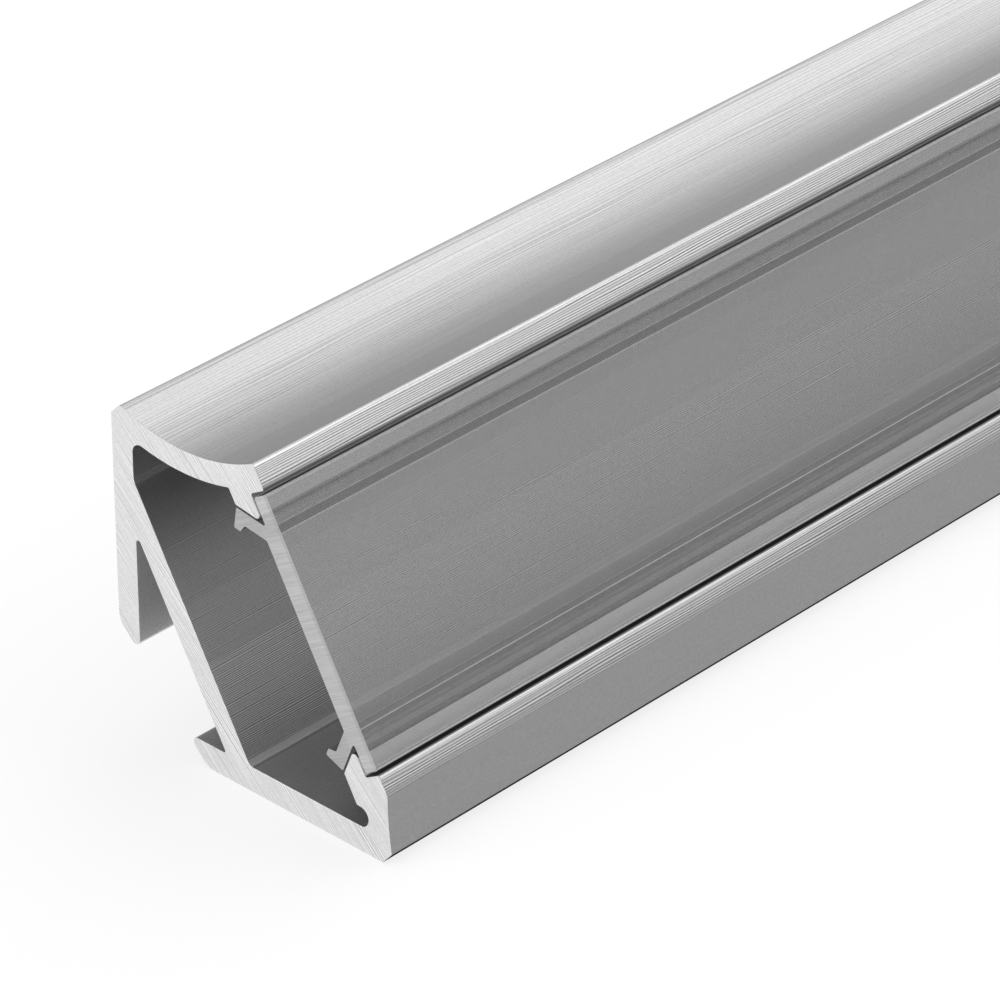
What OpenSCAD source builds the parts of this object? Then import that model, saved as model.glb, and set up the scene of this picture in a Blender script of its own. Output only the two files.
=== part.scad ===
// Aluminium corner profile for LED strips, with its clear snap-in cover.
// The section stands with its back upright and its base down.
// X is the width, Z the height, and the stock runs along Y, centred on the origin.

/* [Stock] */
// Length that the profile and its cover are cut to
stock_length = 500; // [200:10:3000]

/* [Outer form] */
// Distance from the back face to the right side
body_width = 18; // [16:0.1:21]
// Height of the right side, up to where the slanted front begins
side_height = 3.86; // [3.4:0.02:4.1]
// Lean of the slanted front from upright
front_lean = 30; // [27:0.5:34]
// Width of the rim between the lower ledge and the right side
lower_rim = 1.1; // [0.8:0.02:2]
// Width of the rim between the upper ledge and the ridge
upper_rim = 1.38; // [1.2:0.02:2]
// Drop from the ridge to the back edge of the top
back_drop = 0.4; // [0:0.05:0.8]
// Radius of the hollow in the top
top_radius = 10.8; // [9:0.1:16]
// Size of the bevel along the back edge of the top
top_bevel = 0.65; // [0.3:0.05:1]
// How far the right side flares out towards its foot
side_flare = 0.24; // [0.1:0.02:0.5]
// Height of the bevel under the flared foot
foot_bevel = 0.7; // [0.3:0.05:1]
// Width of the bevel under the flared foot
foot_bevel_width = 0.6; // [0.3:0.05:1]
// Rounding of the outer edges
edge_radius = 0.1; // [0.04:0.02:0.16]

/* [Walls] */
// Thickness of the back, the base and the strip seat
wall = 1.4; // [1.2:0.05:1.6]
// Thickness of the wall under the hollow of the top
top_wall = 1.25; // [1:0.05:1.4]
// Distance from the outer corner to the free tips of the back and the base
corner_gap = 4.97; // [4.5:0.05:5.3]
// Blunt end of those two tips, left by the bevel on their outside
tip_face = 0.45; // [0.3:0.05:0.8]
// Rounding where that bevel starts
tip_radius = 1.1; // [0.4:0.1:1.6]

/* [Strip channel] */
// Drop from the rounded top of the channel to where the strip seat meets the back
seat_drop = 1.57; // [0.6:0.01:3]
// Rounding at the foot of the strip seat
seat_radius = 0.5; // [0.2:0.05:0.9]
// Rounding in the top back corner of the channel
channel_radius = 0.55; // [0.2:0.05:0.9]
// Radius of the round end of the pocket behind the lower hook
pocket_radius = 0.545; // [0.45:0.005:0.6]

/* [Cover hooks] */
// Depth of the ledge on each hook below the slanted front
ledge_drop = 1.02; // [0.9:0.02:1.1]
// Thickness of each hook
hook_wall = 1.42; // [1.3:0.02:1.5]
// How far the tip of each hook stands in from the side of its ledge
hook_reach = 1.23; // [1.1:0.01:1.35]
// How far the undercut root of each hook stands in from the side of its ledge
root_reach = 0.35; // [0.25:0.01:0.5]
// Thickness of the blunt tip of each hook
hook_tip_wall = 0.31; // [0.2:0.01:0.4]

/* [Cover] */
// Width of the cover over its two lips
cover_width = 14; // [12:0.1:17]
// Gap between each lip and the side of its ledge
lip_clearance = 0.21; // [0.1:0.01:0.3]
// Gap under each lip and beside each snap leg
seat_clearance = 0.12; // [0.08:0.01:0.18]
// Thickness of the cover between its legs
sheet_wall = 1.24; // [1.1:0.02:1.4]
// Thickness of each snap leg
leg_wall = 0.72; // [0.6:0.02:0.8]
// Length of each snap leg from the lip to its end
leg_length = 2; // [1.8:0.05:2.3]
// How far the barb at the end of each leg turns in
barb_reach = 0.46; // [0.2:0.02:0.6]
// Length of that barb along the leg
barb_length = 0.42; // [0.3:0.02:0.5]

/* [Hidden] */

// Greatest turn in one step of a small rounding, and of a long curve
fillet_step = 12;
curve_step = 2;
// Smaller roundings, of the tips, the hooks and the inner corners
tip_edge_radius = 0.6 * tip_face;
ledge_radius = 0.14;
hook_edge_radius = 0.6 * hook_tip_wall;
hook_root_radius = 0.08;
notch_radius = 0.17;
seat_top_radius = 1;
lip_edge_radius = 0.12;
leg_edge_radius = 0.1;
barb_edge_radius = 0.05;
// Length over which the back of the barb slopes to the leg
barb_slope = 0.24;

// Directions down along the slanted front and straight out of it
along = [sin(front_lean), -cos(front_lean)];
out = [cos(front_lean), sin(front_lean)];
// Distance of the slanted front from the outer corner of the back and the base
front_distance = [body_width, side_height] * out;
hook_depth = ledge_drop + hook_wall;
hook_tip_depth = ledge_drop + hook_tip_wall;

// Half widths, from the middle of the cover: lip, side of the ledge, hook tip and hook root
lip_half = cover_width / 2;
ledge_half = lip_half + lip_clearance;
tip_half = ledge_half - hook_reach;
root_half = ledge_half - root_reach;

// Points where the plane at this depth below the slanted front has a given x, or a given z
function depth_at_x(depth, x) = [x, (front_distance - depth - x * out[0]) / out[1]];
function depth_at_z(depth, z) = [(front_distance - depth - z * out[1]) / out[0], z];

// The front rises from the top of the right side to the ridge, with the cover between its rims
cover_middle = [body_width, side_height] - along * (lower_rim + ledge_half);
ridge = cover_middle - along * (ledge_half + upper_rim);

// Point u down along the front from the middle of the cover, and depth below the front
function front(u, depth) = cover_middle + along * u - out * depth;

function unit(v) = v / norm(v);
function polar(angle) = [cos(angle), sin(angle)];
function reversed(list) = [for (i = [len(list) - 1 : -1 : 0]) list[i]];
function between_ends(list) = [for (i = [1 : len(list) - 2]) list[i]];
function corner(point, radius) = [point[0], point[1], radius];

// Points of an arc, as corners that need no rounding
function arc(centre, radius, from, to, step = curve_step) =
    let (steps = ceil(abs(to - from) / step))
    [for (k = [0 : steps]) corner(centre + radius * polar(from + (to - from) * k / steps), 0)];

// Points that round the corner at here, on the way from before to after
function fillet(before, here, after, radius) =
    let (
        back = unit(before - here),
        ahead = unit(after - here),
        half = acos(back * ahead) / 2,
        centre = here + unit(back + ahead) * radius / sin(half),
        start = here + back * radius / tan(half) - centre,
        from = atan2(start[1], start[0]),
        turn = (180 - 2 * half) * sign(cross(here - before, after - here)),
        steps = ceil(abs(turn) / fillet_step)
    )
    [for (k = [0 : steps]) centre + radius * polar(from + turn * k / steps)];

// Outline of a list of corners [x, z, radius]
function rounded(corners) =
    let (
        count = len(corners),
        points = [for (c = corners) [c[0], c[1]]]
    )
    [
        for (i = [0 : count - 1])
            each corners[i][2] > 0
                ? fillet(points[(i + count - 1) % count], points[i], points[(i + 1) % count], corners[i][2])
                : [points[i]]
    ];

// Centre of the hollow in the top, on which the underside of the top is centred too
back_edge = [top_bevel, ridge[1] - back_drop];
top_chord = ridge - back_edge;
top_centre = (ridge + back_edge) / 2
    + [-top_chord[1], top_chord[0]] / norm(top_chord)
    * sqrt(top_radius ^ 2 - (top_chord * top_chord) / 4);
underside_radius = top_radius + top_wall;

// Flare of the right side: an arc that leaves the upright line at the height of the side
flare_height = side_height - foot_bevel;
flare_radius = (flare_height ^ 2 + side_flare ^ 2) / (2 * side_flare);
flare_centre = [body_width + flare_radius, side_height];
flare_turn = asin(flare_height / flare_radius);
foot_x = body_width + side_flare;

side_outline = concat(
    [corner([foot_x - foot_bevel_width, 0], edge_radius)],
    [corner([foot_x, foot_bevel], edge_radius)],
    between_ends(arc(flare_centre, flare_radius, 180 + flare_turn, 180)),
    [corner([body_width, side_height], edge_radius)]
);

// Free tip of the base, from its top to its underside, with the bevel between; the back has the same
tip_bevel = wall - tip_face;
tip_outline = [
    [corner_gap, wall, tip_edge_radius],
    [corner_gap, tip_bevel, tip_edge_radius],
    [corner_gap + tip_bevel, 0, tip_radius]
];

// One hook, from the rim over the ledge and the tip to the undercut root
function hook_outline(side) = [
    corner(front(side * ledge_half, 0), edge_radius),
    corner(front(side * ledge_half, ledge_drop), ledge_radius),
    corner(front(side * tip_half, ledge_drop), hook_edge_radius),
    corner(front(side * tip_half, hook_tip_depth), hook_root_radius),
    corner(front(side * root_half, hook_depth), hook_root_radius)
];

// Pocket behind the lower hook: its floor is the base, and its round end leaves one wall to the side
pocket_centre = [body_width + side_flare / 2 - wall - pocket_radius, wall + pocket_radius];
pocket_outline = concat(
    [corner(depth_at_z(hook_depth, wall + 2 * pocket_radius), 0)],
    arc(pocket_centre, pocket_radius, 90, -90, fillet_step)
);

// Rounding between the back and the underside of the top, touching both
channel_centre = [
    wall + channel_radius,
    top_centre[1] - sqrt((underside_radius + channel_radius) ^ 2
        - (wall + channel_radius - top_centre[0]) ^ 2)
];
channel_to_top = top_centre - channel_centre;
channel_angle = atan2(channel_to_top[1], channel_to_top[0]);
underside_end = front_lean
    - acos((front_distance - hook_depth - top_centre * out) / underside_radius);
underside_outline = concat(
    arc(channel_centre, channel_radius, 180, channel_angle, fillet_step),
    between_ends(arc(top_centre, underside_radius, channel_angle - 180, underside_end)),
    [corner(top_centre + underside_radius * polar(underside_end), edge_radius)]
);

// Planes of the strip seat and of its back, as depths below the front
seat_top = channel_centre - [channel_radius, seat_drop];
seat_depth = front_distance - seat_top * out;
seat_back_depth = seat_depth + wall;

ridge_from_top = ridge - top_centre;
back_from_top = back_edge - top_centre;
top_outline = concat(
    [corner(ridge, edge_radius)],
    between_ends(arc(top_centre, top_radius,
        atan2(ridge_from_top[1], ridge_from_top[0]), atan2(back_from_top[1], back_from_top[0]))),
    [corner(back_edge, edge_radius)]
);

body_outline = concat(
    side_outline,
    hook_outline(1),
    pocket_outline,
    [corner(depth_at_z(seat_depth, wall), seat_radius)],
    [corner(seat_top, seat_top_radius)],
    underside_outline,
    reversed(hook_outline(-1)),
    top_outline,
    [corner([0, back_edge[1] - top_bevel], edge_radius)],
    [for (c = reversed(tip_outline)) [c[1], c[0], c[2]]],
    [corner(depth_at_x(seat_back_depth, wall), notch_radius)],
    [corner(depth_at_z(seat_back_depth, wall), edge_radius)],
    tip_outline
);

// Cover, in half widths and depths. Each leg follows the undercut of its hook at the clearance
lip_wall = ledge_drop - seat_clearance;
undercut = unit([root_half - tip_half, hook_depth - hook_tip_depth]);
inward = [-undercut[1], undercut[0]];
undercut_start = [root_half, hook_depth] + inward * seat_clearance;
leg_start = undercut_start + undercut * (lip_wall - undercut_start[1]) / undercut[1];

// Point on a leg, this far along from the lip and this far in from its outer side
function on_leg(length, inset) = leg_start + undercut * length + inward * inset;
leg_foot = (sheet_wall - on_leg(0, leg_wall)[1]) / undercut[1];

half_cover = [
    [lip_half, 0, lip_edge_radius],
    [lip_half, lip_wall, lip_edge_radius],
    corner(leg_start, leg_edge_radius),
    corner(on_leg(leg_length, 0), leg_edge_radius),
    corner(on_leg(leg_length, leg_wall + barb_reach), leg_edge_radius),
    corner(on_leg(leg_length - barb_length, leg_wall + barb_reach), barb_edge_radius),
    corner(on_leg(leg_length - barb_length - barb_slope, leg_wall), leg_edge_radius),
    corner(on_leg(leg_foot, leg_wall), leg_edge_radius)
];

function cover_side(side) = [for (c = half_cover) corner(front(side * c[0], c[1]), c[2])];

// Stock of a section, standing on its base and centred on the origin
module stock(outline) {
    translate([-foot_x / 2, 0, 0])
        rotate([90, 0, 0])
            linear_extrude(height = stock_length, center = true)
                polygon(outline);
}

module profile_body() {
    color("silver")
        stock(rounded(body_outline));
}

module clear_cover() {
    color("lightgray", 0.5)
        stock(rounded(concat(cover_side(1), reversed(cover_side(-1)))));
}

profile_body();
clear_cover();
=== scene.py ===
import math

import bmesh
import bpy
from bpy.props import FloatProperty, FloatVectorProperty, PointerProperty
from bpy.types import Operator, Panel, PropertyGroup
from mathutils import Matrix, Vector


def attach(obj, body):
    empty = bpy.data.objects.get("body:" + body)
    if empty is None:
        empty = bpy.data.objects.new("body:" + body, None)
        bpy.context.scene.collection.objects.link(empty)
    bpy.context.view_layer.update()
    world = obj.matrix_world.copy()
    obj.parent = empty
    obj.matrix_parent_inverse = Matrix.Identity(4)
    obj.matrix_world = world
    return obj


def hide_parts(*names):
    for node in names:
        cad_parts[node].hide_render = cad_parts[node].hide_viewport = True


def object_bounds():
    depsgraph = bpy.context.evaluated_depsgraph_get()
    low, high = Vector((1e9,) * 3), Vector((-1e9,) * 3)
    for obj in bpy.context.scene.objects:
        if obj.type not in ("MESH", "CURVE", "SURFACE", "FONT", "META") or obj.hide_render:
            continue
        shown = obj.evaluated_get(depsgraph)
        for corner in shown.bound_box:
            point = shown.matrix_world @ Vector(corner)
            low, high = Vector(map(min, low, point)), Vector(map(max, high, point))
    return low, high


bl_info = {
    "name": "LED strip profile",
    "version": (1, 0, 0),
    "blender": (4, 5, 0),
    "location": "3D View > Sidebar > LED profile",
    "description": "Finishes a cut length of aluminium LED profile and its clear snap-in cover",
    "category": "Object",
}

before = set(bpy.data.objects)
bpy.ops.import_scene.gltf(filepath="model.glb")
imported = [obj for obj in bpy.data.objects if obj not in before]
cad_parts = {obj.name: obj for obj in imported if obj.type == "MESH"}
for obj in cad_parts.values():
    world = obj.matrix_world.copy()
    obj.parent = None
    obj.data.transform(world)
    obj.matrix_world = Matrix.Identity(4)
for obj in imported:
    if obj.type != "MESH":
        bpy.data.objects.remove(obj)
CAD_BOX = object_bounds()
BODY_NODE = "profile_body"
COVER_NODE = "clear_cover"
MM = 0.001

# The slanted front leans back from upright, and the strip seat lies parallel behind it
FRONT_LEAN = math.radians(30)
FRONT_NORMAL = Vector((math.cos(FRONT_LEAN), 0, math.sin(FRONT_LEAN)))
FRONT_SLOPE = Vector((math.sin(FRONT_LEAN), 0, -math.cos(FRONT_LEAN)))
BODY_POINTS = [vertex.co.copy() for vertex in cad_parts[BODY_NODE].data.vertices]
FRONT_REACH = max(point.dot(FRONT_NORMAL) for point in BODY_POINTS)
FRONT_FLATNESS = 0.002 * MM
FRONT_TOP = min(
    point.dot(FRONT_SLOPE) for point in BODY_POINTS
    if point.dot(FRONT_NORMAL) > FRONT_REACH - FRONT_FLATNESS
)

# Zones of the body's section with painted light and shade: a tone above one paints a highlight
# or lightens a dim place, a tone below one paints shade into grooves, under the hooks and along
# dark edges. Each zone also shows its drawn lines more or less, as (what it is, two ranges in mm,
# tone, strength of the lines).
# The ranges are x and z for the level zones, and for the slanted zones the depth behind the
# front and the distance down it.
LEVEL_ZONES = (
    ("foot bevel", (8.5, 9.2), (0.02, 0.7), 0.04, 0.0),
    ("back top edge", (-8.6, -8.38), (18.0, 18.2), 0.34, 0.0),
    ("back of the hollow", (-8.38, -8.05), (17.7, 18.2), 0.83, 0.55),
    ("middle of the hollow", (-6.6, -4.7), (17.3, 17.6), 0.93, 0.55),
    ("front of the hollow", (-1.9, 0.3), (17.6, 18.42), 0.93, 0.35),
    ("arm beside the clip corner", (-7.8, -7.6), (5.0, 11.0), 2.8, 0.3),
    ("back wall of the channel", (-7.8, -7.65), (14.2, 16.3), 0.7, 0.3),
    ("start of the fillet beside the channel floor", (-0.5, -0.26), (1.38, 1.7), 0.33, 0.1),
    ("fillet beside the channel floor", (-0.26, 0.0), (1.38, 1.7), 1.7, 0.1),
    ("channel floor", (0.0, 7.2), (1.39, 1.42), 2.2, 0.1),
    ("side", (8.8, 9.2), (0.72, 3.84), 1.08, 0.2),
)
SLANTED_ZONES = (
    ("upper edge of the upper rim", (0.003, 0.2), (-0.2, 0.02), 0.87, 0.3),
    ("highlight of the upper rim", (-0.01, 0.01), (-0.02, 0.14), 1.9, 0.7),
    ("upper rim", (-0.01, 0.01), (0.14, 0.92), 1.38, 1.6),
    ("lower part of the upper rim", (-0.01, 0.01), (0.92, 1.12), 1.1, 1.7),
    ("end of the upper rim", (-0.01, 0.003), (1.12, 1.2), 0.75, 0.5),
    ("lower edge of the upper rim", (0.0005, 0.12), (1.18, 1.3), 0.1, 0.0),
    ("upper edge of the lower rim", (0.004, 0.1), (15.67, 15.79), 0.2, 0.3),
    ("highlight of the lower rim", (-0.01, 0.01), (15.79, 15.98), 1.6, 0.7),
    ("lower rim", (-0.01, 0.01), (15.98, 16.5), 1.14, 1.8),
    ("end of the lower rim", (-0.01, 0.01), (16.5, 16.8), 0.97, 1.2),
    ("groove above the lower rim", (0.07, 0.99), (15.55, 15.75), 0.07, 0.0),
    ("lower hook", (1.005, 2.5), (14.3, 14.75), 0.04, 0.0),
    ("ledge under the lower lip", (1.0, 1.03), (14.75, 15.6), 1.85, 0.3),
    ("tip of the upper hook", (1.005, 1.5), (2.42, 2.6), 0.2, 0.0),
    ("back of the upper hook", (1.5, 2.5), (0.8, 2.6), 0.3, 0.0),
    ("ledge above the upper lip of the cover", (1.0, 1.08), (1.2, 1.53), 0.3, 0.0),
    ("ledge under the upper lip", (1.0, 1.08), (1.53, 2.42), 1.55, 0.3),
    ("upper part of the seat", (9.17, 9.19), (-0.3, 2.5), 0.9, 0.4),
    ("upper middle of the seat", (9.17, 9.19), (2.5, 6.0), 0.88, 0.6),
    ("lower middle of the seat", (9.17, 9.19), (6.0, 9.0), 0.95, 0.95),
    ("lower part of the seat", (9.17, 9.19), (9.0, 13.8), 1.05, 1.5),
    ("end of the seat", (9.17, 9.19), (13.8, 14.2), 1.0, 0.9),
)
# Tone and strength of the lines on the rest of the body
OTHER_ZONE = (1.0, 0.35)

# Distances down the front, in mm, where faces that lie along it are split between two zones
BODY_CUTS = (0.14, 0.92, 1.12, 1.53, 2.5, 6.0, 9.0, 13.8, 14.74, 15.98, 16.5)
# Where the hollow top is split from the back top edge
BACK_EDGE = -8.38 * MM
# Zones with a lower tone than this get the matt grey of painted shade
PAINTED_SHADE_TONE = 0.65
# The drawn lines lie closer on the seat and further apart on the hollow top by these factors
SEAT_STRETCH = 1.25
TOP_STRETCH = 0.7

# Bands of painted light and shade down the front of the cover, where the hooks and legs behind it
# show through, as (what it is, from and to in mm below the top of the front, tone of the haze)
COVER_BANDS = (
    ("upper side of the rounding of the upper lip", 1.4, 1.53, 4.5),
    ("gap below the upper hook", 2.3, 2.38, 0.85),
    ("line below the upper hook", 2.38, 2.46, 0.65),
    ("start of the upper leg", 2.46, 2.56, 0.85),
    ("upper leg", 2.56, 2.75, 1.05),
    ("lower part of the upper leg", 2.75, 2.97, 1.3),
    ("bend of the upper leg", 2.97, 3.02, 1.0),
    ("root of the upper leg", 3.02, 3.42, 0.72),
    ("line at the root of the upper leg", 3.42, 3.46, 1.1),
    ("space below the root of the upper leg", 3.46, 3.52, 0.85),
    ("start of the space over the channel floor", 12.45, 12.6, 0.95),
    ("space over the channel floor", 12.6, 13.12, 0.76),
    ("space above the root of the lower leg", 13.12, 13.36, 1.1),
    ("line at the root of the lower leg", 13.36, 13.41, 1.35),
    ("lower leg", 13.41, 13.85, 1.1),
    ("bend of the lower leg", 13.85, 13.92, 0.7),
    ("lower part of the lower leg", 13.92, 14.22, 0.93),
    ("gap beside the lower hook", 14.22, 14.4, 0.8),
    ("line beside the lower hook", 14.4, 14.53, 0.6),
    ("rounding of the lower lip", 15.38, 15.52, 1.55),
)

# Parts of the cover's sawn end, as (what it is, ranges of depth and down in mm, tone)
CUT_ZONES = (
    ("front edge", (-0.1, 0.2), (0.0, 17.0), 0.87),
    ("upper lip", (0.2, 1.3), (0.0, 2.4), 1.07),
    ("root of the upper leg", (0.2, 1.3), (2.4, 3.6), 0.95),
    ("legs", (1.3, 3.5), (0.0, 17.0), 0.92),
)
# Depths and distances down, in mm, where the cover's sawn end is split between those parts
CUT_DEPTHS = (0.2, 1.3)
CUT_DOWNS = (2.4, 3.6)

# How a CAD solid's loose triangles become whole faces, and which of its edges stay sharp
WELD = 0.0001 * MM
FLAT_ANGLE = math.radians(0.05)
SMOOTH_ANGLE = math.radians(24)
# Least cosines for a face along a direction, for a sawn end or its rim, and for the hollow top
FACING = 0.999
RIM_FACING = 0.1
TOP_FACING = 0.8
# Depths behind the front that end the body's front faces and begin its seat
FRONT_DEPTH = 1.03 * MM
SEAT_DEPTH = 9 * MM
# Depths behind the front of the cover's outside and of its inside, and where its legs begin
LIP_DEPTH = 0.13 * MM
WALL_DEPTH = 1.2 * MM
LEG_DEPTH = 1.3 * MM
# A rounding of the cover has a smaller area than this
ROUNDING_AREA = 30 * MM * MM

# Places of the materials on the two pieces
# The third material of the body is the matt grey of painted shade
ANODISED, SAWN, PAINTED_SHADE = range(3)
CLEAR, CUT, LIP_EDGE, LEG, ROUNDING = range(5)

# Drawn lines: how far they leave an even spacing, their depth and how much it changes, and
# over how many lines either changes
LINE_DRIFT = 2
LINE_DEPTH = 0.6
LINE_DEPTH_CHANGE = 1.4
DRIFT_LINES = 5
DEPTH_LINES = 2.5
# Finer noise within the grain
GRAIN_DETAIL = 1.5

# Saw lines: their length, the length and width of a group of stronger ones, how strong the
# lines are inside and outside a group, the share of even lines, the change of the grey, the
# depth of a line, and how metallic the sawn end is
SAW_LENGTH = 12 * MM
SAW_GROUP = (15 * MM, 0.9 * MM)
SAW_GROUP_SHARPNESS = 3
SAW_WEAKEST = 0.4
SAW_GROUP_CHANGE = 0.7
SAW_EVEN_SHARE = 0.35
SAW_CONTRAST = 0.6
SAW_GRAIN_CONTRAST = 0.2
SAW_DEPTH = 0.001 * MM
SAW_METALLIC = 0.9

# Lines on the sawn end of the cover: length and width, and change of the grey
CUT_LINE = (2 * MM, 0.08 * MM)
CUT_CONTRAST = 0.45
CUT_ROUGHNESS = 0.5
# Roughness of the matt grey that paints shade on the aluminium in grooves and at dark edges
PAINTED_SHADE_ROUGHNESS = 0.8

# The floor lies just under the base, and reaches far past the view
FLOOR_GAP = 0.01 * MM
FLOOR_RADIUS = 30
FLOOR_SIDES = 64

# Lamps, as (name, setting with its power, width and height, direction from the near end)
LAMPS = (
    ("overhead_lamp", "overhead_power", (1.9, 0.9), (0.14, 0.62, 0.77)),
    ("key_lamp", "key_power", (0.5, 0.5), (-0.35, -0.8, 0.6)),
)
LAMP_DISTANCE = 1.0

# Middle of the view, from the middle of the base at the near end
CAMERA_AIM = Vector((-4.15, 21.55, 5.2)) * MM
CAMERA_CLIP = (0.01, 100)
SENSOR_WIDTH = 36


class FinishSettings(PropertyGroup):
    """Finish of the aluminium."""

    anodised: FloatVectorProperty(
        name="Anodised grey", description="Colour of the satin anodised faces",
        default=(0.262, 0.262, 0.264), subtype="COLOR", min=0, max=1,
    )
    anodised_roughness: FloatProperty(
        name="Anodised roughness", description="Roughness of the satin anodised faces",
        default=0.42, min=0, max=1,
    )
    brush_pitch: FloatProperty(
        name="Brush pitch", description="Distance from one drawn line to the next",
        default=0.122 * MM, subtype="DISTANCE", min=0.02 * MM,
    )
    grain: FloatProperty(
        name="Grain", description="Size of the grain between the lines",
        default=0.15 * MM, subtype="DISTANCE", min=0.02 * MM,
    )
    brush_length: FloatProperty(
        name="Brush length", description="Length of a drawn line along the stock",
        default=14 * MM, subtype="DISTANCE", min=1 * MM,
    )
    brush_depth: FloatProperty(
        name="Brush depth", description="Depth of the drawn lines",
        default=0.0008 * MM, subtype="DISTANCE", min=0,
    )
    line_contrast: FloatProperty(
        name="Line contrast", description="Change of the grey in a drawn line",
        default=0.5, min=0, max=1,
    )
    grain_contrast: FloatProperty(
        name="Grain contrast", description="Change of the grey in the grain",
        default=0.27, min=0, max=1,
    )
    sawn: FloatVectorProperty(
        name="Sawn grey", description="Colour of the bare sawn ends",
        default=(0.74, 0.74, 0.74), subtype="COLOR", min=0, max=1,
    )
    sawn_roughness: FloatProperty(
        name="Sawn roughness", description="Roughness of the sawn ends",
        default=0.5, min=0, max=1,
    )
    saw_angle: FloatProperty(
        name="Saw angle", description="Slope of the saw lines below level, towards the front",
        default=math.radians(44.5), subtype="ANGLE",
    )
    saw_pitch: FloatProperty(
        name="Saw pitch", description="Distance from one saw line to the next",
        default=0.155 * MM, subtype="DISTANCE", min=0.02 * MM,
    )
    rim: FloatProperty(
        name="Deburred rim", description="Width of the deburred edge round each sawn end",
        default=0.012 * MM, subtype="DISTANCE", min=0,
    )


class CoverSettings(PropertyGroup):
    """Finish of the clear cover."""

    haze: FloatVectorProperty(
        name="Haze", description="Colour of the light that the clear faces scatter",
        default=(0.36, 0.36, 0.36), subtype="COLOR", min=0, max=1,
    )
    opacity: FloatProperty(
        name="Opacity", description="Share of the light that one face keeps back",
        default=0.3, min=0, max=1,
    )
    roughness: FloatProperty(
        name="Roughness", description="Roughness of the clear faces", default=0.25, min=0, max=1,
    )
    ior: FloatProperty(
        name="Index of refraction", description="Refraction of the clear plastic",
        default=1.49, min=1, max=2,
    )
    grain: FloatProperty(
        name="Grain", description="Size of the grain of the haze",
        default=0.2 * MM, subtype="DISTANCE", min=0.02 * MM,
    )
    grain_contrast: FloatProperty(
        name="Grain contrast", description="Change of the haze in its grain", default=0.55, min=0,
    )
    # The narrow roundings get a nearly opaque grey, which paints the light and shade that they
    # catch
    rounding: FloatVectorProperty(
        name="Rounding grey", description="Colour of the narrow roundings, which catch the light",
        default=(0.27, 0.27, 0.27), subtype="COLOR", min=0, max=1,
    )
    rounding_opacity: FloatProperty(
        name="Rounding opacity", description="Share of the light that a rounding keeps back",
        default=0.85, min=0, max=1,
    )
    # The legs scatter a dark grey, which paints their shade
    leg: FloatVectorProperty(
        name="Leg grey", description="Colour of the light that the legs scatter",
        default=(0.08, 0.08, 0.08), subtype="COLOR", min=0, max=1,
    )
    # The edges of the lips are an opaque grey without gloss, which paints the shade of the gaps
    # beside them
    edge: FloatVectorProperty(
        name="Edge grey", description="Colour of the edges of the lips",
        default=(0.24, 0.24, 0.24), subtype="COLOR", min=0, max=1,
    )
    cut: FloatVectorProperty(
        name="Cut grey", description="Colour of the sawn ends of the cover",
        default=(0.6, 0.6, 0.6), subtype="COLOR", min=0, max=1,
    )
    cut_opacity: FloatProperty(
        name="Cut opacity", description="Share of the light that a sawn end keeps back",
        default=0.75, min=0, max=1,
    )


class StudioSettings(PropertyGroup):
    """Lamps, floor and camera."""

    floor_grey: FloatVectorProperty(
        name="Floor", description="Colour of the floor",
        default=(0.86, 0.86, 0.86), subtype="COLOR", min=0, max=1,
    )
    floor_whiteness: FloatProperty(
        name="Floor whiteness", description="Share of plain white in the floor as it is seen",
        default=0.8, min=0, max=1,
    )
    ambient: FloatProperty(
        name="Ambient", description="Strength of the light from all round", default=0.5, min=0,
    )
    overhead_power: FloatProperty(
        name="Overhead lamp", description="Power of the large lamp above and behind",
        default=12.5, subtype="POWER", min=0,
    )
    key_power: FloatProperty(
        name="Key lamp", description="Power of the lamp in front on the left",
        default=3, subtype="POWER", min=0,
    )
    camera_distance: FloatProperty(
        name="Camera distance", description="Distance from the camera to the middle of its view",
        default=0.2866, subtype="DISTANCE", min=0.1,
    )
    camera_azimuth: FloatProperty(
        name="Camera azimuth", description="Turn of the camera round the object",
        default=math.radians(43.16), subtype="ANGLE",
    )
    camera_elevation: FloatProperty(
        name="Camera elevation", description="Height angle of the camera",
        default=math.radians(31.01), subtype="ANGLE",
    )
    lens: FloatProperty(
        name="Lens", description="Focal length on a 36 mm sensor", default=205.74, min=20,
    )


class Value:
    """An output of a node that can be used in arithmetic."""

    def __init__(self, nodes, socket):
        self.nodes = nodes
        self.socket = socket

    def maths(self, operation, *values, clamp=False):
        settings = {"operation": operation, "use_clamp": clamp}
        return self.nodes.add("ShaderNodeMath", settings, *values)

    def __add__(self, other):
        return self.maths("ADD", self, other)

    def __radd__(self, other):
        return self.maths("ADD", other, self)

    def __sub__(self, other):
        return self.maths("SUBTRACT", self, other)

    def __rsub__(self, other):
        return self.maths("SUBTRACT", other, self)

    def __mul__(self, other):
        return self.maths("MULTIPLY", self, other)

    def __rmul__(self, other):
        return self.maths("MULTIPLY", other, self)

    def sine(self):
        return self.maths("SINE", self)

    def clamped(self):
        return self.maths("ADD", self, 0, clamp=True)


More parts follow.
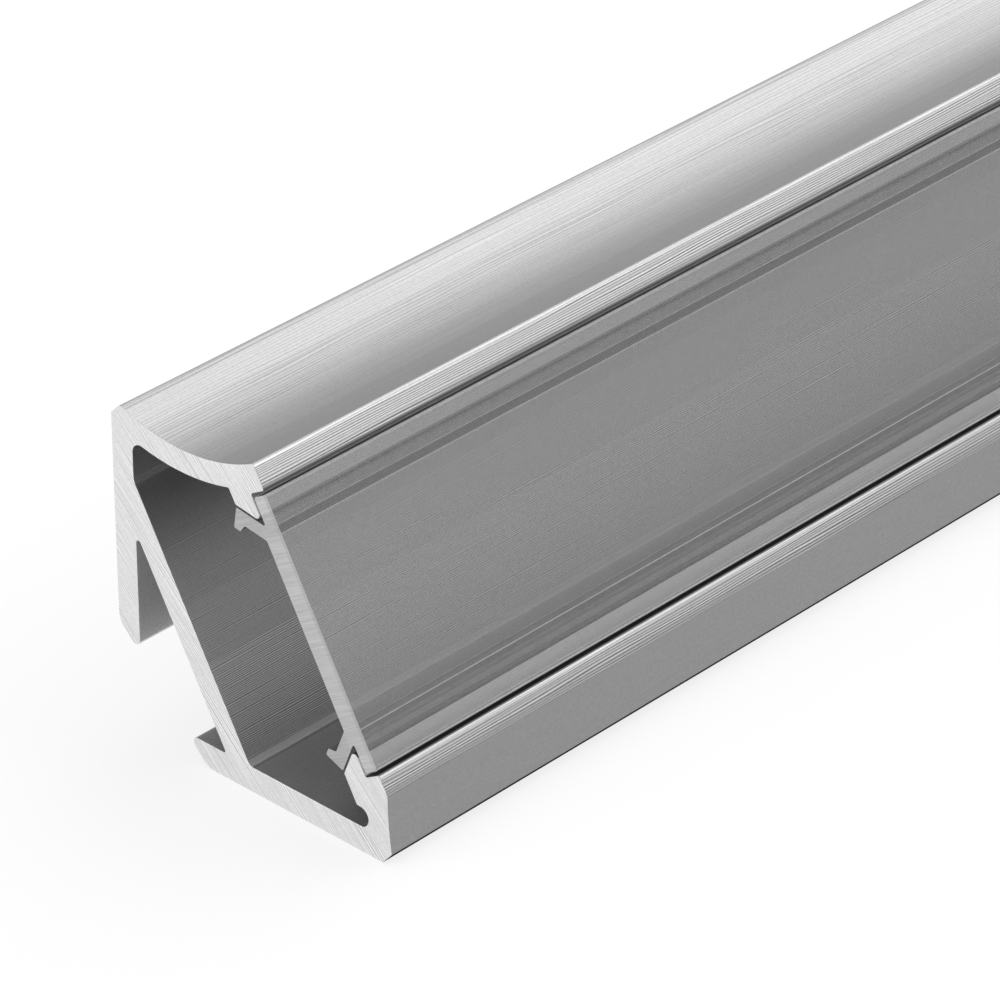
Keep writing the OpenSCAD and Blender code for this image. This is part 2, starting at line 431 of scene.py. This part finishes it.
class Nodes:
    """The node tree of one material or of the world."""

    def __init__(self, owner):
        owner.use_nodes = True
        self.tree = owner.node_tree
        self.tree.nodes.clear()

    def add(self, kind, settings, *values, output=0, **named):
        """Adds a node: its settings come first, then the values or links of its sockets."""
        node = self.tree.nodes.new(kind)
        for key, value in settings.items():
            setattr(node, key, value)
        for index, value in enumerate(values):
            self.feed(node.inputs[index], value)
        for name, value in named.items():
            self.feed(node.inputs[name.replace("_", " ")], value)
        return Value(self, node.outputs[output])

    def feed(self, socket, value):
        if isinstance(value, Value):
            self.tree.links.new(value.socket, socket)
        elif socket.type == "RGBA":
            socket.default_value = (*value[:3], 1)
        else:
            socket.default_value = value

    def noise(self, cell, detail=1.0):
        """Noise about zero on the lines map, with cells of this length and width."""
        lines = self.add("ShaderNodeUVMap", {"uv_map": "lines"})
        place = self.add(
            "ShaderNodeMapping", {"vector_type": "TEXTURE"}, Vector=lines, Scale=(*cell, 1),
        )
        flat = {"noise_dimensions": "2D"}
        return self.add("ShaderNodeTexNoise", flat, Vector=place, Scale=1.0, Detail=detail) - 0.5

    def grain(self, cell):
        """Soft even grain about zero, with cells of this size."""
        place = self.add("ShaderNodeTexCoord", {}, output="Object")
        noise = self.add(
            "ShaderNodeTexNoise", {}, Vector=place, Scale=1 / cell, Detail=GRAIN_DETAIL,
        )
        return noise - 0.5

    def drawn_lines(self, pitch, length):
        """Straight fine lines about zero, nearly evenly spaced, some deeper than others."""
        lines = self.add("ShaderNodeUVMap", {"uv_map": "lines"})
        across = self.add("ShaderNodeSeparateXYZ", {}, lines, output="Y")
        drift = self.noise((length, pitch * DRIFT_LINES))
        depth = self.noise((length, pitch * DEPTH_LINES))
        turns = across * (1 / pitch) + drift * LINE_DRIFT
        return (turns * math.tau).sine() * (LINE_DEPTH + depth * LINE_DEPTH_CHANGE)

    def scaled(self, colour, factor):
        return self.add("ShaderNodeVectorMath", {"operation": "SCALE"}, colour[:3], Scale=factor)

    def zones(self):
        """Tone, which paints light and shade on the body and the front of the cover, and strength
        of the drawn lines, from the finish map.
        """
        finish = self.add("ShaderNodeUVMap", {"uv_map": "finish"})
        parts = self.add("ShaderNodeSeparateXYZ", {}, finish).socket.node.outputs
        return Value(self, parts["X"]), Value(self, parts["Y"])

    def surface(self, shader, kind="ShaderNodeOutputMaterial"):
        output = self.tree.nodes.new(kind)
        self.tree.links.new(shader.socket, output.inputs["Surface"])


def new_material(name):
    material = bpy.data.materials.new(name)
    return material, Nodes(material)


def anodised_material(finish):
    """Satin anodised aluminium with fine lines drawn along the stock, and painted highlights and
    shade from the tone of each zone.
    """
    material, nodes = new_material("anodised_aluminium")
    # The zone tone paints highlights and shade into the grey
    tone, strength = nodes.zones()
    drawn = nodes.drawn_lines(finish.brush_pitch, finish.brush_length) * strength
    grain = nodes.grain(finish.grain)
    shade = 1 + drawn * finish.line_contrast + grain * finish.grain_contrast
    normal = nodes.add(
        "ShaderNodeBump", {}, Strength=1.0, Distance=finish.brush_depth, Height=drawn,
    )
    shader = nodes.add(
        "ShaderNodeBsdfPrincipled", {}, Base_Color=nodes.scaled(finish.anodised, tone * shade),
        Metallic=1.0, Roughness=finish.anodised_roughness, Normal=normal,
    )
    nodes.surface(shader)
    return material


def painted_shade_material():
    """Matt grey without gloss that paints shade on the aluminium in the grooves, under the hooks
    and at dark edges.
    """
    material, nodes = new_material("shaded_aluminium")
    tone, _ = nodes.zones()
    shader = nodes.add(
        "ShaderNodeBsdfPrincipled", {}, Base_Color=nodes.scaled((1, 1, 1), tone),
        Roughness=PAINTED_SHADE_ROUGHNESS, Specular_IOR_Level=0.0,
    )
    nodes.surface(shader)
    return material


def sawn_material(finish):
    """Bare aluminium with the slanting lines of the saw."""
    material, nodes = new_material("sawn_aluminium")
    group = (nodes.noise(SAW_GROUP, detail=0.0) * SAW_GROUP_SHARPNESS + 0.5).clamped()
    even = nodes.drawn_lines(finish.saw_pitch, SAW_LENGTH)
    uneven = nodes.noise((SAW_LENGTH / 2, finish.saw_pitch / 2))
    lines = (even * SAW_EVEN_SHARE + uneven) * (group * SAW_GROUP_CHANGE + SAW_WEAKEST)
    shade = 1 + lines * SAW_CONTRAST + nodes.grain(finish.grain) * SAW_GRAIN_CONTRAST
    normal = nodes.add("ShaderNodeBump", {}, Strength=1.0, Distance=SAW_DEPTH, Height=lines)
    shader = nodes.add(
        "ShaderNodeBsdfPrincipled", {}, Base_Color=nodes.scaled(finish.sawn, shade),
        Metallic=SAW_METALLIC, Roughness=finish.sawn_roughness, Normal=normal,
    )
    nodes.surface(shader)
    return material


def clear_material(cover, name, colour, opacity):
    """Clear plastic with a faint grainy grey haze, scaled by bands of painted light and shade."""
    material, nodes = new_material(name)
    tone, _ = nodes.zones()
    shade = tone * (1 + nodes.grain(cover.grain) * cover.grain_contrast)
    shader = nodes.add(
        "ShaderNodeBsdfPrincipled", {}, Base_Color=nodes.scaled(colour, shade), Alpha=opacity,
        Roughness=cover.roughness, IOR=cover.ior,
    )
    nodes.surface(shader)
    return material


def lip_edge_material(cover):
    """Opaque grey plastic without gloss on the narrow edges of the lips, painted shade that makes
    them look dark from outside.
    """
    material, nodes = new_material("lip_edge")
    shader = nodes.add(
        "ShaderNodeBsdfPrincipled", {}, Base_Color=cover.edge, Roughness=cover.roughness,
        IOR=cover.ior, Specular_IOR_Level=0.0,
    )
    nodes.surface(shader)
    return material


def cut_plastic_material(cover):
    """Plastic of the sawn ends of the cover, darker where its legs are."""
    material, nodes = new_material("cut_plastic")
    tone, _ = nodes.zones()
    shade = tone * (1 + nodes.noise(CUT_LINE) * CUT_CONTRAST)
    shader = nodes.add(
        "ShaderNodeBsdfPrincipled", {}, Base_Color=nodes.scaled(cover.cut, shade),
        Roughness=CUT_ROUGHNESS, IOR=cover.ior, Alpha=cover.cut_opacity,
    )
    nodes.surface(shader)
    return material


def depth_and_down(point):
    """Depth behind the slanted front, and distance down it from its top."""
    return FRONT_REACH - point.dot(FRONT_NORMAL), point.dot(FRONT_SLOPE) - FRONT_TOP


def middle(face):
    """Depth and distance down of the middle of a face."""
    return depth_and_down(face.calc_center_median())


def within(place, ranges):
    """Whether each measure of a place lies in its range in mm."""
    return all(low * MM < value < high * MM for value, (low, high) in zip(place, ranges))


def cover_zone(point):
    """Tone of the haze, which paints the light and shade of the parts behind, and strength of the
    lines at this point of the cover's section.
    """
    depth, down = depth_and_down(point)
    for _, start, end, tone in COVER_BANDS:
        if depth < LIP_DEPTH and start * MM < down < end * MM:
            return tone, 1.0
    return 1.0, 1.0


def cut_zone(point):
    """Tone and strength of the lines at this point of the cover's sawn end."""
    for _, *ranges, tone in CUT_ZONES:
        if within(depth_and_down(point), ranges):
            return tone, 1.0
    return 1.0, 1.0


def body_zone(point):
    """Tone, which paints light and shade, and strength of the lines at this point of the body's
    section.
    """
    level = (point.x, point.z)
    for zones, place in ((LEVEL_ZONES, level), (SLANTED_ZONES, depth_and_down(point))):
        for _, *ranges, tone, lines in zones:
            if within(place, ranges):
                return tone, lines
    return OTHER_ZONE


def faces_front(face):
    """Whether a face lies along the slanted front or the seat and looks out of it."""
    return face.normal.dot(FRONT_NORMAL) > FACING


def is_end(face):
    """Whether a face is a sawn end."""
    return abs(face.normal.y) > FACING


def is_end_or_rim(face):
    """Whether a face is a sawn end or the deburred rim round it."""
    return abs(face.normal.y) > RIM_FACING


def split(work, faces, point, normal):
    """Splits these faces where a plane crosses them."""
    parts = dict.fromkeys(part for face in faces for part in (face, *face.edges, *face.verts))
    bmesh.ops.bisect_plane(work, geom=list(parts), plane_co=point, plane_no=normal)


def split_down(work, faces, down):
    """Splits these faces at this distance in mm down the front."""
    split(work, faces, FRONT_SLOPE * (FRONT_TOP + down * MM), FRONT_SLOPE)


def split_top(work):
    """Splits the hollow top from the back top edge."""
    faces = [face for face in work.faces if face.normal.z > TOP_FACING]
    split(work, faces, (BACK_EDGE, 0, 0), (1, 0, 0))


def split_front(work, cuts):
    """Splits the faces along the front, and the seat, at these distances down the front."""
    for down in cuts:
        faces = [
            face for face in work.faces
            if faces_front(face) and not FRONT_DEPTH < middle(face)[0] < SEAT_DEPTH
        ]
        split_down(work, faces, down)


def split_ends(work):
    """Splits the sawn ends of the cover where its lips and legs begin."""
    for depth in CUT_DEPTHS:
        faces = filter(is_end, work.faces)
        split(work, faces, FRONT_NORMAL * (FRONT_REACH - depth * MM), FRONT_NORMAL)
    for down in CUT_DOWNS:
        split_down(work, filter(is_end, work.faces), down)


def stretch_of(face):
    """How much closer the drawn lines lie on this face."""
    if faces_front(face) and middle(face)[0] > SEAT_DEPTH:
        return SEAT_STRETCH
    return TOP_STRETCH if face.normal.z > TOP_FACING else 1


def draw_maps(work, end_line, zone_of, end_zone):
    """Maps in metres for the lines of each face, and for the tone of its zone."""
    lines, finish = (work.loops.layers.uv.new(name) for name in ("lines", "finish"))
    for face in work.faces:
        if is_end(face):
            along = end_line
            across = Vector((-along.z, 0, along.x))
        else:
            along = Vector((0, 1, 0))
            across = along.cross(face.normal).normalized()
        zone = (end_zone if is_end_or_rim(face) else zone_of)(face.calc_center_median())
        stretch = stretch_of(face)
        for loop in face.loops:
            loop[lines].uv = loop.vert.co.dot(along), loop.vert.co.dot(across) * stretch
            # The finish map carries each zone's tone, which paints light and shade on the body
            # and the front of the cover
            loop[finish].uv = zone


def whole_copy(node_name, rim):
    """A copy of a CAD solid with its triangles made whole faces, and with deburred ends."""
    work = bmesh.new()
    work.from_mesh(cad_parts[node_name].data)
    bmesh.ops.remove_doubles(work, verts=work.verts, dist=WELD)
    bmesh.ops.dissolve_limit(
        work, angle_limit=FLAT_ANGLE, verts=work.verts, edges=work.edges, delimit={"NORMAL"},
    )
    rims = dict.fromkeys(edge for face in filter(is_end, work.faces) for edge in face.edges)
    bmesh.ops.bevel(
        work, geom=list(rims), offset=rim, offset_type="OFFSET", affect="EDGES",
        segments=1, profile=0.5, material=-1, clamp_overlap=True,
    )
    return work


def finished_piece(work, piece_name, choose, materials):
    """An object from this mesh, with the material for each face and its sharp edges kept."""
    for face in work.faces:
        face.material_index = choose(face)
        face.smooth = not is_end(face)
    for edge in work.edges:
        edge.smooth = edge.is_manifold and edge.calc_face_angle() < SMOOTH_ANGLE
    mesh = bpy.data.meshes.new(piece_name)
    work.to_mesh(mesh)
    work.free()
    for material in materials:
        mesh.materials.append(material)
    piece = bpy.data.objects.new(piece_name, mesh)
    bpy.context.collection.objects.link(piece)
    return piece


def body_finish(face):
    """Anodised sides and rims, the sawn ends, or places with painted shade."""
    if is_end_or_rim(face):
        return SAWN if is_end(face) else ANODISED
    return PAINTED_SHADE if body_zone(face.calc_center_median())[0] < PAINTED_SHADE_TONE else ANODISED


def cover_finish(face):
    """Clear front and back, cut ends, edges of the lips, legs, or narrow roundings."""
    if is_end_or_rim(face):
        return CUT
    if abs(face.normal.dot(FRONT_SLOPE)) > FACING:
        return LIP_EDGE
    depth = middle(face)[0]
    narrow = face.calc_area() < ROUNDING_AREA
    if narrow and (depth < LIP_DEPTH or WALL_DEPTH < depth < LEG_DEPTH):
        return ROUNDING
    return LEG if depth > LEG_DEPTH else CLEAR


class PROFILE_OT_body(Operator):
    """Finish the aluminium body: brushed sides, sawn ends and deburred rims"""

    bl_idname = "profile.body"
    bl_label = "Aluminium body"

    def execute(self, context):
        finish = context.scene.profile_finish
        saw_line = Vector((math.cos(finish.saw_angle), 0, -math.sin(finish.saw_angle)))
        materials = (anodised_material(finish), sawn_material(finish), painted_shade_material())
        work = whole_copy(BODY_NODE, finish.rim)
        split_top(work)
        split_front(work, BODY_CUTS)
        draw_maps(work, saw_line, body_zone, body_zone)
        piece = finished_piece(work, "brushed_body", body_finish, materials)
        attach(piece, "root")
        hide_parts(BODY_NODE)
        return {"FINISHED"}


class PROFILE_OT_cover(Operator):
    """Finish the clear cover: hazy faces, dark lip edges and sawn ends"""

    bl_idname = "profile.cover"
    bl_label = "Clear cover"

    def execute(self, context):
        cover = context.scene.profile_cover
        materials = (
            clear_material(cover, "clear_plastic", cover.haze, cover.opacity),
            cut_plastic_material(cover),
            lip_edge_material(cover),
            clear_material(cover, "clear_leg", cover.leg, cover.opacity),
            clear_material(cover, "clear_rounding", cover.rounding, cover.rounding_opacity),
        )
        work = whole_copy(COVER_NODE, context.scene.profile_finish.rim)
        split_front(work, sorted({edge for _, *edges, _ in COVER_BANDS for edge in edges}))
        split_ends(work)
        draw_maps(work, FRONT_NORMAL, cover_zone, cut_zone)
        piece = finished_piece(work, "snap_cover", cover_finish, materials)
        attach(piece, "root")
        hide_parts(COVER_NODE)
        return {"FINISHED"}


def seen_ray(nodes):
    """One for rays that show the background: from the camera, off gloss or through glass."""
    kinds = ("Is Camera Ray", "Is Glossy Ray", "Is Transmission Ray")
    rays = [nodes.add("ShaderNodeLightPath", {}, output=kind) for kind in kinds]
    return (rays[0] + rays[1] + rays[2]).clamped()


def make_floor(studio):
    work = bmesh.new()
    bmesh.ops.create_circle(work, cap_ends=True, segments=FLOOR_SIDES, radius=FLOOR_RADIUS)
    bmesh.ops.translate(work, verts=work.verts, vec=(0, 0, -FLOOR_GAP))
    mesh = bpy.data.meshes.new("floor")
    work.to_mesh(mesh)
    work.free()
    material, nodes = new_material("floor")
    lit = nodes.add("ShaderNodeBsdfDiffuse", {}, Color=studio.floor_grey)
    white = nodes.add("ShaderNodeEmission", {}, Color=(1, 1, 1), Strength=1.0)
    share = seen_ray(nodes) * studio.floor_whiteness
    nodes.surface(nodes.add("ShaderNodeMixShader", {}, share, lit, white))
    mesh.materials.append(material)
    floor = bpy.data.objects.new("floor", mesh)
    bpy.context.collection.objects.link(floor)


def make_world(studio):
    world = bpy.data.worlds.new("studio")
    bpy.context.scene.world = world
    nodes = Nodes(world)
    strength = seen_ray(nodes) * (1 - studio.ambient) + studio.ambient
    background = nodes.add("ShaderNodeBackground", {}, Color=(1, 1, 1), Strength=strength)
    nodes.surface(background, "ShaderNodeOutputWorld")


def make_lamp(name, power, size, target, direction):
    lamp = bpy.data.lights.new(name, "AREA")
    lamp.shape = "RECTANGLE"
    lamp.size, lamp.size_y = size
    lamp.energy = power
    holder = bpy.data.objects.new(name, lamp)
    away = Vector(direction).normalized()
    holder.location = target + away * LAMP_DISTANCE
    holder.rotation_euler = away.to_track_quat("Z", "Y").to_euler()
    bpy.context.collection.objects.link(holder)


def make_camera(studio, near_end):
    """The camera looks along the stock from its near end, down and from the front."""
    camera = bpy.data.cameras.new("camera")
    camera.sensor_width = SENSOR_WIDTH
    camera.lens = studio.lens
    camera.clip_start, camera.clip_end = CAMERA_CLIP
    turn, height = studio.camera_azimuth, studio.camera_elevation
    level = math.cos(height)
    back = Vector((math.sin(turn) * level, -math.cos(turn) * level, math.sin(height)))
    holder = bpy.data.objects.new("camera", camera)
    holder.location = near_end + CAMERA_AIM + back * studio.camera_distance
    holder.rotation_euler = back.to_track_quat("Z", "Y").to_euler()
    bpy.context.collection.objects.link(holder)
    bpy.context.scene.camera = holder


class PROFILE_OT_studio(Operator):
    """Make the floor, the lamps, the white surroundings and the camera"""

    bl_idname = "profile.studio"
    bl_label = "Studio"

    def execute(self, context):
        studio = context.scene.profile_studio
        low, high = CAD_BOX
        near_end = Vector(((low.x + high.x) / 2, low.y, 0))
        make_floor(studio)
        make_world(studio)
        for name, power, size, direction in LAMPS:
            make_lamp(name, getattr(studio, power), size, near_end, direction)
        make_camera(studio, near_end)
        context.scene.view_settings.view_transform = "Standard"
        return {"FINISHED"}


class PROFILE_PT_panel(Panel):
    """Lists the settings and the steps"""

    bl_idname = "PROFILE_PT_panel"
    bl_label = "LED strip profile"
    bl_space_type = "VIEW_3D"
    bl_region_type = "UI"
    bl_category = "LED profile"

    def draw(self, context):
        for name, (_, step) in STEPS.items():
            box = self.layout.box()
            settings = getattr(context.scene, name)
            for key in settings.__annotations__:
                box.prop(settings, key)
            box.operator(step.bl_idname)


# Each group of settings, and the step that uses it
STEPS = {
    "profile_finish": (FinishSettings, PROFILE_OT_body),
    "profile_cover": (CoverSettings, PROFILE_OT_cover),
    "profile_studio": (StudioSettings, PROFILE_OT_studio),
}
CLASSES = [*(item for pair in STEPS.values() for item in pair), PROFILE_PT_panel]


def register():
    for item in CLASSES:
        bpy.utils.register_class(item)
    for name, (settings, _) in STEPS.items():
        setattr(bpy.types.Scene, name, PointerProperty(type=settings))


def unregister():
    for name in STEPS:
        delattr(bpy.types.Scene, name)
    for item in reversed(CLASSES):
        bpy.utils.unregister_class(item)


def main():
    register()
    bpy.ops.profile.studio()
    bpy.ops.profile.body()
    bpy.ops.profile.cover()


if __name__ == "__main__":
    main()
